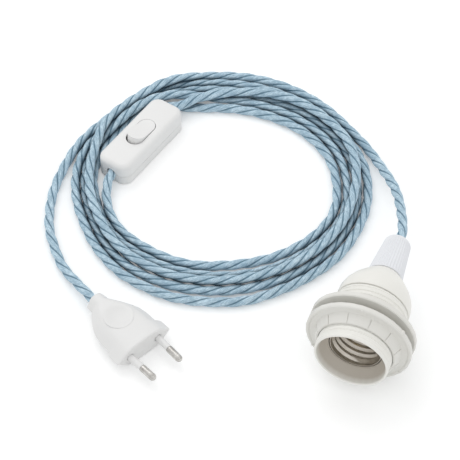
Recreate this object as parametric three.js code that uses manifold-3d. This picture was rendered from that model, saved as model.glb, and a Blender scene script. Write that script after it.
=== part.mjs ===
// Pendant cord set: a lampholder with two screw rings for a shade, a twisted cord laid in a coil,
// an inline rocker switch and a flat two-pin plug. Millimetres, +Z up. The lampholder lies along Y
// with its mouth towards -Y, resting on the rims of its two rings. The cord set lies beside it.
import * as THREE from "three";
import { mergeVertices } from "three/addons/utils/BufferGeometryUtils.js";
import Module from "manifold-3d";

const wasm = await Module();
wasm.setup();

// General fits
const GAP = 0.3; // between pieces that touch on the real object
const ROUND = 30; // facets round a large turned piece
const SMALL_ROUND = 12; // facets round a small turned piece
const BEYOND = 60; // how far a cutting block reaches past the piece it trims

// Cord
const cordRadius = 2.75;
const cordLift = 0.05; // of a cord that lies on the floor
const wireRadius = 1.05;

// Lampholder: radii are from its axis, and stations run back from the mouth
const skirtRootRadius = 19.2;
const skirtThreadDepth = 0.5;
const skirtThreadPitch = 2.6;
const skirtWall = 1.6;
const skirtLength = 35.2;
const lipLength = 2.4;
const lipRadius = 19.6;
const lipBoreRadius = 18.2;
const funnelFootRadius = 14.7;
const funnelStep = 0.35; // each small step between the funnel and the lamp thread
const ledgeStation = 7.6;
const ledgeThickness = 1.5;
const ledgeBoreRadius = 14.3;
const shellThreadPitch = 3.629;
const shellCrestRadius = 12.25; // the smallest inner radius of the lamp thread
const shellThreadDepth = 1.15;
const shellSheet = 0.4;
const shellLength = 22.4;
const shellFootRadius = 15.6;
const coreThickness = 2.9;
const coreBossLength = 3.4;
const coreBossRadius = 13.4;
const domeStraight = 2.8; // before the dome starts to narrow
const domeLength = 18.4;
const domeTopRadius = 9.2;
const domeWall = 1.8;
const domeCollarThickness = 1.8;
const seamWall = 0.95; // of the skirt's end, outside the dome's shoulder
const seamLength = 1;
const stubRadius = 5.3;
const stubLength = 6.2;
const stubBoreRadius = 3.6;
const gripBaseRadius = 9.25;
const gripSeatRadius = 8.2; // of the low step on the dome that centres the grip
const gripSeatLength = 0.8;
const gripTopRadius = 6.7;
const gripLength = 25;
const gripPocketLength = 11.2;
const gripRibs = 36;
const gripRibDepth = 0.42;
const colletLength = 4.6;
const terminalBlock = { width: 5.2, depth: 5.0, length: 5.6 };
const terminalOffset = 6.6;
const terminalScrewStation = 2.6;
const screwRadius = 1.3;
const screwHeadRadius = 2.2;

// Shade rings
const ringRadius = 28;
const ringThickness = 3;
const ringWebThickness = 2.5;
const ringCollarRadius = 23.1; // at its foot, from where it narrows like a cone
const ringCollarEndRadius = 21.1;
const ringCollarLength = 4.6;
const ringNotches = 12;
const ringNotchWidth = 0.5;
const ringNotchDepth = 0.55;
const ringNibs = 3;
const ringNibRadius = 0.8;
const ringNibTurn = 1.5; // degrees
const ringKnobRadius = 1.6;
const ringKnobTurn = 52; // degrees from the top towards +X
const upperRingTurn = -108; // degrees by which the upper ring stands turned on the thread
const ringSpacing = 4.3; // the slot for the shade between the two rings
const lowerRingStation = 12; // front of its rim

// Switch
const switchPlace = { x: -162.3, y: 77.6, turn: 76 };
const switchLength = 57;
const switchWidth = 21;
const switchHeight = 14.5;
const switchCorner = 6;
const switchEdge = 3.2;
const switchSplit = 6.3;
const switchWall = 1.7;
const switchTongue = { wall: 0.75, height: 1 }; // of the base, inside the cover's edge
const rockerLength = 19.4;
const rockerWidth = 10;
const rockerEndGap = 0.95;
const rockerSideGap = 0.35;
const rockerTilt = 10; // degrees to each side of level
const rockerPivotHeight = 11.4;
const rockerDepth = 4.0; // from the pivot down to its underside
const axleRadius = 0.95;
const axleReach = 2.2;
const bridgeLength = 10;
const bridgeWidth = 3;
const bridgeSheet = 0.6;
const legLength = 2.4;
const clampThickness = 1.4;
const switchLeadLength = 10;
const cordEndStart = 17.2; // where the cord ends inside, from the middle

// Plug
const plugPlace = { x: -106.2, y: -55.4, turn: -27.8 };
const plugWidth = 35.3;
const plugHeight = 13.7;
const plugTopFlat = 19.4;
const plugLength = 40.3;
const plugNeckRadius = 6.2;
const plugNeckLength = 5.7;
const plugFlangeLength = 8.4;
const plugWaistWidth = 31;
const plugShoulderWidth = 26.6;
const plugWaistEnd = 16.5;
const plugBlendStation = 21; // between the waist and the shoulders
const plugShoulderStation = 25;
const plugTaperStart = { station: 28.5, reach: 11.4, flat: 6.6 }; // where the shoulders run into the neck
const plugTaperEnd = { station: 31.6, reach: 9.3, flat: 4.8 };
const plugCrown = 0.35; // by which the grip behind the flange lies lower, on both faces
const plugDiscRadius = 7.9; // of the round pad that stands up to the flange's height
const plugDishRadius = 7.0;
const plugDishDepth = 1.5;
const plugDishStation = 20.4;
const pinRadius = 2.0;
const pinLength = 19;
const pinSpacing = 18.6;
const pinToe = 1.66; // degrees by which each pin leans in
const pinShankRadius = 1.2;
const pinSeat = 11;
const sleeveRadius = 1.92;
const sleeveLength = 9;

// Coil and leads
const coilPlace = { x: -109, y: 66 };
const coilOuterRadius = 84;
const coilInnerRadius = 58;
const coilHeight = 10.3;
const coilEdge = 2.4;

// Stations along the lampholder that follow from the sizes above
const shellStation = ledgeStation + 0.7;
const coreStation = shellStation + shellLength + GAP;
const collarStation = coreStation + coreThickness + GAP;
const domeStation = skirtLength + GAP;
const curveStation = domeStation + domeStraight;
const domeTop = curveStation + domeLength;
const gripStation = domeTop + GAP;
const holderLength = gripStation + gripLength;
const skirtBoreRadius = skirtRootRadius - skirtWall;
const seamRadius = skirtRootRadius - seamWall;
const crestRadius = skirtRootRadius + skirtThreadDepth;
const ringBoreRadius = crestRadius + GAP;
const shadeFace = lowerRingStation + ringThickness;
const mouthY = -holderLength / 2;
const axisZ = ringRadius;

const degrees = THREE.MathUtils.degToRad;

// Materials
function finish(color, roughness, metalness = 0) {
  return new THREE.MeshStandardMaterial({ color, roughness, metalness });
}
const ivory = finish(0xe6e4dc, 0.45);
const coolWhite = finish(0xdfe1e6, 0.4);
const white = finish(0xe6e6e4, 0.4);
const nickel = finish(0xb9b4aa, 0.25, 1);
const brass = finish(0xb08d4c, 0.35, 1);
const steel = finish(0x9a9a98, 0.35, 1);
const textile = finish(0x9fbdd0, 0.8);
const insulation = finish(0x8a5a3a, 0.5);

// Solids: welding, and the cuts and joins
function weld(geometry) {
  const plain = geometry.clone();
  plain.deleteAttribute("normal");
  plain.deleteAttribute("uv");
  const welded = mergeVertices(plain, 1e-4);
  const ids = welded.index.array;
  const at = welded.attributes.position;
  const a = new THREE.Vector3();
  const b = new THREE.Vector3();
  const c = new THREE.Vector3();
  const kept = [];
  let volume = 0;
  for (let i = 0; i < ids.length; i += 3) {
    const [p, q, r] = [ids[i], ids[i + 1], ids[i + 2]];
    if (p === q || q === r || r === p) continue;
    kept.push(p, q, r);
    a.fromBufferAttribute(at, p);
    b.fromBufferAttribute(at, q);
    c.fromBufferAttribute(at, r);
    volume += a.dot(b.cross(c));
  }
  if (volume < 0) {
    for (let i = 0; i < kept.length; i += 3) [kept[i], kept[i + 1]] = [kept[i + 1], kept[i]];
  }
  welded.setIndex(kept);
  return welded;
}

function toManifold(geometry) {
  const welded = weld(geometry);
  return new wasm.Manifold(
    new wasm.Mesh({
      numProp: 3,
      vertProperties: new Float32Array(welded.attributes.position.array),
      triVerts: new Uint32Array(welded.index.array),
    }),
  );
}

function toGeometry(manifold) {
  const mesh = manifold.getMesh();
  const geometry = new THREE.BufferGeometry();
  geometry.setAttribute("position", new THREE.BufferAttribute(mesh.vertProperties, 3));
  geometry.setIndex(new THREE.BufferAttribute(mesh.triVerts, 1));
  return geometry;
}

function cut(geometry, ...tools) {
  return toGeometry(tools.reduce((body, tool) => body.subtract(toManifold(tool)), toManifold(geometry)));
}

function join(geometry, ...others) {
  return toGeometry(others.reduce((body, other) => body.add(toManifold(other)), toManifold(geometry)));
}

function common(geometry, other) {
  return toGeometry(toManifold(geometry).intersect(toManifold(other)));
}

function part(name, geometry, material) {
  const mesh = new THREE.Mesh(weld(geometry), material);
  mesh.name = name;
  return mesh;
}

// Shapes that several pieces use
function turned(profile, facets = ROUND) {
  return new THREE.LatheGeometry(
    profile.map(([radius, station]) => new THREE.Vector2(radius, station)),
    facets,
  );
}

function block(x0, x1, y0, y1, z0, z1) {
  const box = new THREE.BoxGeometry(x1 - x0, y1 - y0, z1 - z0);
  return box.translate((x0 + x1) / 2, (y0 + y1) / 2, (z0 + z1) / 2);
}

// A cylinder along X, Y or Z from one place to another on that axis
function rod(axis, radius, from, to, facets = SMALL_ROUND) {
  const cylinder = new THREE.CylinderGeometry(radius, radius, to - from, facets);
  cylinder.translate(0, (from + to) / 2, 0);
  if (axis === "x") cylinder.rotateZ(-Math.PI / 2);
  if (axis === "z") cylinder.rotateX(Math.PI / 2);
  return cylinder;
}

function roundedPlan(length, width, corner) {
  const x = length / 2;
  const y = width / 2;
  const shape = new THREE.Shape();
  shape.moveTo(-x + corner, -y);
  shape.lineTo(x - corner, -y);
  shape.absarc(x - corner, -y + corner, corner, -Math.PI / 2, 0);
  shape.absarc(x - corner, y - corner, corner, 0, Math.PI / 2);
  shape.absarc(-x + corner, y - corner, corner, Math.PI / 2, Math.PI);
  shape.absarc(-x + corner, -y + corner, corner, Math.PI, 1.5 * Math.PI);
  return shape;
}

// A slab with a rounded-rectangle plan, standing on z0, its two long edges rounded by `edge`
function slab(length, width, corner, z0, z1, edge = 0, edgeSegments = 3) {
  const shape = roundedPlan(length - 2 * edge, width - 2 * edge, corner - edge);
  const geometry = new THREE.ExtrudeGeometry(shape, {
    depth: z1 - z0 - 2 * edge,
    bevelEnabled: edge > 0,
    bevelThickness: edge,
    bevelSize: edge,
    bevelSegments: edgeSegments,
    curveSegments: 4,
  });
  return geometry.translate(0, 0, z0 + edge);
}

// A turned piece whose profile holds rows of a screw thread. Each row follows the helix, and the
// thread fades out over half a pitch at both ends. Each thread is { form, from, to, pitch, root, depth }.
// A form's rows are where its crest begins, where it ends, and its root: share of the pitch, height.
const MOULDED_THREAD = [[0, 1], [0.55, 1], [0.78, 0]];
const ROLLED_THREAD = [[0, 1], [0.3, 1], [0.65, 0]];
function threadRows(thread) {
  const turns = Math.ceil((thread.to - thread.from) / thread.pitch) + 1;
  const rows = [];
  for (let turn = -1; turn < turns; turn += 1) {
    thread.form.forEach(([share, height]) => rows.push({ thread, start: turn + share, height }));
  }
  return rows;
}

function threadPoint(row, turn) {
  const { from, to, pitch, root, depth } = row.thread;
  const station = THREE.MathUtils.clamp(from + pitch * (row.start + turn), from, to);
  const fade = Math.min(1, (2 * (station - from)) / pitch, (2 * (to - station)) / pitch);
  return [root + depth * row.height * Math.max(0, fade), station];
}

function threadedTurned(profile, facets = ROUND) {
  const base = profile.map((row) => (row.thread ? threadPoint(row, 0) : row));
  const geometry = turned(base, facets);
  const at = geometry.attributes.position;
  for (let column = 0; column <= facets; column += 1) {
    const share = column / facets;
    const angle = 2 * Math.PI * (share % 1);
    profile.forEach((row, k) => {
      if (!row.thread) return;
      const [radius, station] = threadPoint(row, share);
      at.setXYZ(column * profile.length + k, radius * Math.sin(angle), station, radius * Math.cos(angle));
    });
  }
  return geometry;
}

// Lampholder pieces, turned about Y from the mouth back
function funnel() {
  const steps = 4;
  const rows = [];
  for (let k = 1; k <= steps; k += 1) {
    const share = k / steps;
    const radius = lipBoreRadius - (lipBoreRadius - funnelFootRadius) * share ** 1.5;
    rows.push([radius, 0.5 + (ledgeStation - 0.5) * share]);
  }
  return rows.reverse();
}

function makeSkirt() {
  const thread = {
    form: MOULDED_THREAD,
    from: lipLength + 0.3,
    to: skirtLength - 0.4,
    pitch: skirtThreadPitch,
    root: skirtRootRadius,
    depth: skirtThreadDepth,
  };
  return threadedTurned([
    [lipBoreRadius, 0.5],
    [lipBoreRadius + 0.4, 0],
    [lipRadius - 0.5, 0],
    [lipRadius, 0.5],
    [lipRadius, lipLength - 0.3],
    [skirtRootRadius, lipLength],
    ...threadRows(thread),
    [skirtRootRadius, skirtLength - 0.25],
    [skirtRootRadius - 0.25, skirtLength],
    [seamRadius, skirtLength],
    [seamRadius, skirtLength - seamLength],
    [skirtBoreRadius, skirtLength - seamLength],
    [skirtBoreRadius, ledgeStation + ledgeThickness],
    [ledgeBoreRadius, ledgeStation + ledgeThickness],
    [ledgeBoreRadius, ledgeStation + funnelStep],
    [funnelFootRadius - 0.1, ledgeStation + funnelStep],
    ...funnel(),
    [lipBoreRadius, 0.5],
  ]);
}

function makeThreadShell() {
  const wave = {
    form: ROLLED_THREAD,
    from: shellStation + 1.2,
    to: shellStation + shellLength - 1.4,
    pitch: shellThreadPitch,
    depth: -shellThreadDepth,
  };
  const inside = { ...wave, root: shellCrestRadius + shellThreadDepth };
  const outside = { ...wave, root: inside.root + shellSheet };
  const end = shellStation + shellLength;
  return threadedTurned(
    [
      [inside.root, shellStation],
      [outside.root, shellStation],
      ...threadRows(outside),
      [outside.root, end - shellSheet],
      [shellFootRadius, end - shellSheet],
      [shellFootRadius, end],
      [inside.root, end],
      ...threadRows(inside).reverse(),
      [inside.root, shellStation],
    ],
    24,
  );
}

// The insulating core behind the thread shell, with a boss that carries the terminals
function makeSocketCore() {
  const back = coreStation + coreThickness;
  const body = turned([
    [0, coreStation],
    [skirtBoreRadius - GAP, coreStation],
    [skirtBoreRadius - GAP, back],
    [coreBossRadius, back],
    [coreBossRadius, back + coreBossLength],
    [0, back + coreBossLength],
  ]);
  const slot = block(-2.3, 2.3, coreStation - 1, coreStation + 0.9, -6.4, 6.4);
  return cut(body, slot);
}

// Spring strip that touches the lamp's centre: a foot in the core's slot and a raised tongue
function makeCentreContact() {
  const foot = coreStation + 0.6;
  const sheet = 0.45;
  const rise = 3.6;
  const outline = new THREE.Shape();
  outline.moveTo(-5.8, 0);
  outline.lineTo(5.8, 0);
  outline.lineTo(5.8, sheet);
  outline.lineTo(-2.6, sheet);
  outline.lineTo(3.4, rise);
  outline.lineTo(3.2, rise + sheet);
  outline.lineTo(-3.8, sheet + 0.35);
  outline.lineTo(-5.8, sheet);
  const strip = new THREE.ExtrudeGeometry(outline, { depth: 3.6, bevelEnabled: false });
  strip.translate(0, 0, -1.8);
  strip.rotateZ(Math.PI);
  strip.rotateY(Math.PI / 2);
  return strip.translate(0, foot, 0);
}

// Bent strip from the thread shell's foot back over the core's rim
function makeSideContact() {
  const sheet = 0.5;
  const front = coreStation - GAP - shellSheet - GAP;
  const rimZ = skirtBoreRadius - GAP - 0.1;
  return block(-1.8, 1.8, front - sheet, front, -rimZ, -(shellFootRadius - 1.4));
}

function domeRadius(share) {
  return domeTopRadius + (crestRadius - 0.1 - domeTopRadius) * Math.cos((Math.PI / 2) * share);
}

function makeDome() {
  const steps = 6;
  const outer = [];
  const inner = [];
  for (let k = 0; k <= steps; k += 1) {
    const share = k / steps;
    outer.push([domeRadius(share), curveStation + domeLength * share]);
    inner.push([domeRadius(share) - domeWall, curveStation + (domeLength - domeWall) * share]);
  }
  const collarOuter = skirtBoreRadius - GAP;
  const collarInner = collarOuter - domeCollarThickness;
  const shoulder = seamRadius - GAP;
  const shoulderStation = skirtLength - seamLength + GAP;
  return turned([
    [collarInner, collarStation],
    [collarOuter, collarStation],
    [collarOuter, shoulderStation],
    [shoulder, shoulderStation],
    [shoulder, domeStation],
    [domeRadius(0) - 0.25, domeStation],
    [domeRadius(0), domeStation + 0.25],
    ...outer,
    [gripSeatRadius, domeTop],
    [gripSeatRadius, domeTop + gripSeatLength],
    [stubRadius, domeTop + gripSeatLength],
    [stubRadius, domeTop + stubLength],
    [stubBoreRadius, domeTop + stubLength],
    [stubBoreRadius, domeTop - domeWall],
    ...inner.reverse().filter(([radius]) => radius < collarInner),
    [collarInner, domeStation + 4],
    [collarInner, collarStation],
  ]);
}

// Ribbed cone that clamps the cord: every second facet edge stands proud as a rib
function makeCordGrip() {
  const end = gripStation + gripLength;
  const bore = cordRadius + 0.45;
  const seat = gripSeatRadius + GAP;
  const pocket = stubRadius + 0.35;
  const facets = 2 * gripRibs;
  const profile = [
    [0, gripStation],
    [gripBaseRadius, gripStation],
    [gripBaseRadius - 0.15, gripStation + 1.2],
    [gripTopRadius + 0.15, end - 2.2],
    [gripTopRadius - 0.1, end - 0.9],
    [gripTopRadius - 0.9, end - 0.1],
    [0, end],
  ];
  const cone = turned(profile, facets);
  const ribbed = [2, 3];
  const at = cone.attributes.position;
  for (let column = 0; column <= facets; column += 2) {
    ribbed.forEach((k) => {
      const i = column * profile.length + k;
      const grow = 1 + gripRibDepth / Math.hypot(at.getX(i), at.getZ(i));
      at.setX(i, at.getX(i) * grow);
      at.setZ(i, at.getZ(i) * grow);
    });
  }
  const hollow = turned(
    [
      [0, gripStation - 1],
      [seat, gripStation - 1],
      [seat, gripStation + gripSeatLength],
      [pocket, gripStation + gripSeatLength],
      [pocket, gripStation + gripPocketLength],
      [bore, gripStation + gripPocketLength + 2],
      [bore, end - 0.7],
      [bore + 1.7, end + 1],
      [0, end + 1],
    ],
    20,
  );
  return cut(cone, hollow);
}

function makeCollet() {
  const start = domeTop + stubLength + GAP;
  const outer = stubRadius;
  const inner = cordRadius + 0.3;
  const ring = turned(
    [
      [inner, start],
      [outer, start],
      [outer, start + colletLength - 1],
      [outer - 0.8, start + colletLength],
      [inner, start + colletLength],
      [inner, start],
    ],
    20,
  );
  return cut(ring, block(-0.4, 0.4, start - 1, start + colletLength + 1, 0, outer + 1));
}

// Shade ring: flange, raised rim with small nibs and one knob, and a slit cone for a collar. Stations
// run from the collar's end (negative) to the flat shade face at ringThickness.
function makeShadeRing() {
  const web = ringThickness - ringWebThickness;
  const fillet = 0.9;
  const coneLength = ringCollarLength + web - fillet;
  const ring = turned([
    [ringBoreRadius, -ringCollarLength],
    [ringCollarEndRadius - 0.3, -ringCollarLength],
    [ringCollarEndRadius, -ringCollarLength + 0.3],
    [ringCollarRadius, web - fillet],
    [ringCollarRadius + 0.3 * fillet, web - 0.3 * fillet],
    [ringCollarRadius + fillet, web],
    [ringRadius - 2.0, web],
    [ringRadius - 1.4, 0],
    [ringRadius - 0.5, 0],
    [ringRadius, 0.5],
    [ringRadius, ringThickness - 0.5],
    [ringRadius - 0.5, ringThickness],
    [ringBoreRadius, ringThickness],
    [ringBoreRadius, -ringCollarLength],
  ]);
  const slope = Math.atan2(ringCollarRadius - ringCollarEndRadius, coneLength);
  const half = coneLength / Math.cos(slope) / 2;
  const notches = [];
  for (let k = 0; k < ringNotches; k += 1) {
    const notch = block(-ringNotchWidth / 2, ringNotchWidth / 2, -half - 1, half, -ringNotchDepth, 2);
    notch.rotateX(slope);
    notch.translate(0, coneLength / 2 - ringCollarLength, (ringCollarRadius + ringCollarEndRadius) / 2);
    notches.push(notch.rotateY((2 * Math.PI * (k + 0.5)) / ringNotches));
  }
  const nibs = [];
  for (let k = 0; k < ringNibs; k += 1) {
    const nib = new THREE.SphereGeometry(ringNibRadius, 6, 4);
    nib.translate(0, 0.1, ringRadius - 0.15 - ringNibRadius);
    nibs.push(nib.rotateY((2 * Math.PI * k) / ringNibs + degrees(ringNibTurn)));
  }
  const knob = new THREE.SphereGeometry(ringKnobRadius, 10, 6);
  knob.translate(0, ringKnobRadius * 0.8, ringRadius - ringKnobRadius * 0.35);
  return join(cut(ring, ...notches), ...nibs, knob.rotateY(degrees(ringKnobTurn)));
}

// Terminal block on the core's boss, with a hole for its screw and one for the wire
function makeTerminal(side) {
  const { width, depth, length } = terminalBlock;
  const front = coreStation + coreThickness + coreBossLength;
  const x = side * terminalOffset;
  const body = block(x - width / 2, x + width / 2, front, front + length, -depth / 2, depth / 2);
  const tap = rod("z", screwRadius + GAP, -0.6, depth);
  const wireHole = rod("y", wireRadius + GAP, front + length - 2.4, front + length + 1);
  return cut(body, tap.translate(x, front + terminalScrewStation, 0), wireHole.translate(x, 0, 0));
}

function makeTerminalScrew(side) {
  const { depth } = terminalBlock;
  const front = coreStation + coreThickness + coreBossLength;
  const head = rod("z", screwHeadRadius, depth / 2 + GAP, depth / 2 + GAP + 1.4);
  const shank = rod("z", screwRadius, -0.3, depth / 2 + GAP + 0.2);
  const slot = block(-0.35, 0.35, -screwHeadRadius - 1, screwHeadRadius + 1, depth / 2 + GAP + 0.8, depth);
  return cut(join(head, shank), slot).translate(side * terminalOffset, front + terminalScrewStation, 0);
}

function tube(points, radius, sides, steps) {
  const section = new THREE.Shape();
  for (let k = 0; k < sides; k += 1) {
    const angle = (2 * Math.PI * k) / sides;
    section[k ? "lineTo" : "moveTo"](radius * Math.cos(angle), radius * Math.sin(angle));
  }
  const path = new THREE.CatmullRomCurve3(points.map((point) => new THREE.Vector3(...point)));
  return new THREE.ExtrudeGeometry(section, { steps, extrudePath: path, bevelEnabled: false });
}

// Insulated wire from a terminal through the dome's stub to the end of the cord
function makeHolderWire(side) {
  const blockEnd = coreStation + coreThickness + coreBossLength + terminalBlock.length;
  const end = domeTop + stubLength;
  const x = side * terminalOffset;
  const close = side * (wireRadius + 0.35);
  return tube(
    [
      [x, blockEnd - 1.5, 0],
      [x, blockEnd + 1.4, 0],
      [(x + close) / 2, (blockEnd + domeTop) / 2, 0],
      [close, domeTop - 1.5, 0],
      [close, end, 0],
    ],
    wireRadius,
    8,
    8,
  );
}

const cordEndStation = domeTop + stubLength + GAP;

function makeHolder() {
  const holder = new THREE.Group();
  holder.position.set(0, mouthY, axisZ);
  holder.add(part("skirt", makeSkirt(), ivory));
  holder.add(part("thread_shell", makeThreadShell(), nickel));
  holder.add(part("socket_core", makeSocketCore(), ivory));
  holder.add(part("centre_contact", makeCentreContact(), brass));
  holder.add(part("side_contact", makeSideContact(), brass));
  holder.add(part("dome", makeDome(), ivory));
  holder.add(part("cord_grip", makeCordGrip(), coolWhite));
  holder.add(part("grip_collet", makeCollet(), coolWhite));
  [-1, 1].forEach((side) => {
    const suffix = side < 0 ? "live" : "neutral";
    holder.add(part(`holder_terminal_${suffix}`, makeTerminal(side), brass));
    holder.add(part(`holder_screw_${suffix}`, makeTerminalScrew(side), steel));
    holder.add(part(`holder_wire_${suffix}`, makeHolderWire(side), insulation));
  });
  const cordEnd = rod("y", cordRadius - 0.1, cordEndStation, holderLength, 12);
  holder.add(part("cord_end_in_grip", cordEnd, textile));

  const lower = part("lower_ring", makeShadeRing(), ivory);
  lower.position.y = lowerRingStation;
  holder.add(lower);
  const upper = part("upper_ring", makeShadeRing(), ivory);
  upper.rotation.set(Math.PI, degrees(upperRingTurn), 0);
  upper.position.y = shadeFace + ringSpacing + ringThickness;
  holder.add(upper);
  return holder;
}

// Switch: housing in two halves, X along the cord, Z up from its flat underside
const inner = {
  length: switchLength - 2 * switchWall,
  width: switchWidth - 2 * switchWall,
  corner: switchCorner - switchWall,
};
const topPlate = switchHeight - switchWall;
const screwPlaces = [
  { name: "a", x: -14.5, y: -5.5 },
  { name: "b", x: 14.5, y: 5.5 },
];
const bossRadius = 2.7;
const housingScrew = { radius: 1.1, head: 2.1, headDepth: 1.5 };
const clampX = 20.5;
const switchPostX = 12.7;

function cordHoles() {
  const reach = switchLength / 2;
  return rod("x", cordRadius + GAP, -reach - 1, reach + 1, 16).translate(0, 0, switchSplit);
}

// The seam's tongue on the base, or with GAP for `grow` the rebate for it in the cover
function seamTongue(grow) {
  const wall = switchTongue.wall + grow;
  const parting = switchSplit - GAP / 2;
  const top = parting + GAP + switchTongue.height + grow;
  return slab(inner.length + 2 * wall, inner.width + 2 * wall, inner.corner + wall, parting - 1, top);
}

function rockerPlan(grow) {
  const length = rockerLength + 2 * grow;
  const width = rockerWidth + 2 * (grow > 0 ? rockerSideGap : 0);
  return slab(length, width, width / 2 - 0.01, -20, 20);
}

function makeSwitchCover() {
  const parting = switchSplit + GAP / 2;
  const outer = slab(switchLength, switchWidth, switchCorner, -switchEdge, switchHeight, switchEdge, 5);
  const cover = common(outer, block(-BEYOND, BEYOND, -BEYOND, BEYOND, parting, BEYOND));
  const cavity = slab(inner.length, inner.width, inner.corner, 0, topPlate, 1.2, 2);
  const hollow = cut(cover, cavity, seamTongue(GAP), rockerPlan(rockerEndGap), cordHoles());
  const lugInner = rockerWidth / 2 + rockerSideGap + 0.15;
  const lugOuter = inner.width / 2 + 0.4;
  const lugs = [-1, 1].map((side) => {
    const y = (side * (lugInner + lugOuter)) / 2;
    const half = (lugOuter - lugInner) / 2;
    return block(-2.6, 2.6, y - half, y + half, rockerPivotHeight - 2.4, topPlate + 0.5);
  });
  const bosses = screwPlaces.map(({ x, y }) => (
    rod("z", bossRadius, parting, topPlate + 0.5).translate(x, y, 0)
  ));
  const holes = screwPlaces.map(({ x, y }) =>
    rod("z", housingScrew.radius + GAP, parting - 1, topPlate - 1).translate(x, y, 0),
  );
  const axle = rod("y", axleRadius + GAP, -inner.width / 2 - 0.1, inner.width / 2 + 0.1);
  return cut(join(hollow, ...lugs, ...bosses), axle.translate(0, 0, rockerPivotHeight), ...holes);
}

function makeSwitchBase() {
  const parting = switchSplit - GAP / 2;
  const outer = slab(switchLength, switchWidth, switchCorner, 0, switchHeight, 0.8, 2);
  const base = common(outer, block(-BEYOND, BEYOND, -BEYOND, BEYOND, -BEYOND, parting));
  const cavity = slab(inner.length, inner.width, inner.corner, switchWall, switchHeight, 0.6, 1);
  const hollow = cut(join(base, seamTongue(0)), cavity, cordHoles());
  const posts = screwPlaces.map(({ x, y }) => (
    rod("z", bossRadius, switchWall - 0.5, parting).translate(x, y, 0)
  ));
  const holes = screwPlaces.flatMap(({ x, y }) => [
    rod("z", housingScrew.radius + GAP, -1, parting + 1).translate(x, y, 0),
    rod("z", housingScrew.head + GAP, -1, housingScrew.headDepth).translate(x, y, 0),
  ]);
  const cradleTop = switchSplit - cordRadius - GAP;
  const cradles = [-1, 1].map((side) =>
    block(side * clampX - 1.6, side * clampX + 1.6, -4.6, 4.6, switchWall - 0.3, cradleTop),
  );
  return cut(join(hollow, ...posts, ...cradles), ...holes);
}

// Rocker: its top has two faces that rise outwards, cut to a plan with round ends
function makeRocker() {
  const x = rockerLength / 2 + 1;
  const rise = Math.tan(degrees(rockerTilt));
  const crown = switchHeight - rockerPivotHeight + 0.15;
  const legHalf = 1.3;
  const outline = new THREE.Shape();
  outline.moveTo(-x, -rockerDepth);
  outline.lineTo(x, -rockerDepth);
  outline.lineTo(x, crown + x * rise);
  outline.quadraticCurveTo(0, crown - 0.5, -x, crown + x * rise);
  const depth = rockerWidth;
  const body = new THREE.ExtrudeGeometry(outline, { depth, bevelEnabled: false, curveSegments: 8 });
  body.translate(0, 0, -rockerWidth / 2);
  body.rotateX(Math.PI / 2);
  const trimmed = common(body, rockerPlan(0));
  const bridgeHalf = bridgeWidth / 2;
  const leg = block(-legHalf, legHalf, -bridgeHalf, bridgeHalf, -rockerDepth - legLength, -rockerDepth + 0.5);
  const axle = rod("y", axleRadius, -rockerWidth / 2 - axleReach, rockerWidth / 2 + axleReach);
  return join(trimmed, leg, axle);
}

// Contact bridge under the rocker's leg: it tips with the rocker
function makeContactBridge() {
  const top = -rockerDepth - legLength - 0.02;
  const reach = bridgeLength / 2;
  return block(-reach, reach, -bridgeWidth / 2, bridgeWidth / 2, top - bridgeSheet, top);
}

// Where the bridge's low face comes to at the pressed end, measured up from the underside
const bridgeLow = rockerDepth + legLength + 0.02 + bridgeSheet;
const pressedZ =
  rockerPivotHeight -
  (bridgeLength / 2) * Math.sin(degrees(rockerTilt)) -
  bridgeLow * Math.cos(degrees(rockerTilt));

// Fixed contact: a strip from under the bridge's end to a screw terminal beside the cord clamp
function makeSwitchTerminal(side) {
  const floor = switchWall + GAP / 2;
  const topZ = pressedZ - GAP;
  const strip = block(3.4, switchPostX + 2.2, -1.6, 1.6, floor, floor + 0.7);
  const pad = block(3.4, 6.2, -1.6, 1.6, floor, topZ);
  const post = block(switchPostX - 2.2, switchPostX + 2.2, -1.9, 1.9, floor, floor + 3.4);
  const tap = rod("z", 0.9 + GAP, floor + 1, floor + 5).translate(switchPostX, 0, 0);
  const terminal = cut(join(strip, pad, post), tap);
  return side < 0 ? terminal.rotateZ(Math.PI) : terminal;
}

function makeSwitchTerminalScrew(side) {
  const top = switchWall + GAP / 2 + 3.4;
  const head = rod("z", 1.7, top + GAP, top + GAP + 1.0);
  const shank = rod("z", 0.9, top - 2, top + GAP + 0.1);
  const slot = block(-0.3, 0.3, -3, 3, top + GAP + 0.6, top + GAP + 2);
  return cut(join(head, shank), slot).translate(side * switchPostX, 0, 0);
}

// Clamp bar over the cord's end
function makeCordClamp(side) {
  const z = switchSplit + cordRadius + 0.1;
  const bar = block(-1.5, 1.5, -4.6, 4.6, z, z + clampThickness);
  return bar.translate(side * clampX, 0, 0);
}

function makeHousingScrew() {
  const head = rod("z", housingScrew.head, 0.3, housingScrew.headDepth - GAP);
  const shank = rod("z", housingScrew.radius, 0.8, topPlate - 2);
  const slot = block(-0.35, 0.35, -3, 3, -1, 0.7);
  return cut(join(head, shank), slot);
}

// The conductor that the switch doesn't break: from one cord end it passes under the rocker, between
// the two fixed contacts, to the other cord end
function makeThroughWire() {
  const side = inner.width / 2 - 2;
  const z = switchWall + wireRadius;
  const half = [
    [16.4, -1.6, switchSplit - 1.4],
    [15.3, -4.2, z + 1.2],
    [11.4, -side, z + 0.2],
    [5.4, -side + 0.6, z],
  ];
  const otherHalf = half.map(([x, y, height]) => [-x, -y, height]);
  return tube([...otherHalf, [0, 0, z], ...half.reverse()], wireRadius * 0.8, 6, 14);
}

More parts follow.
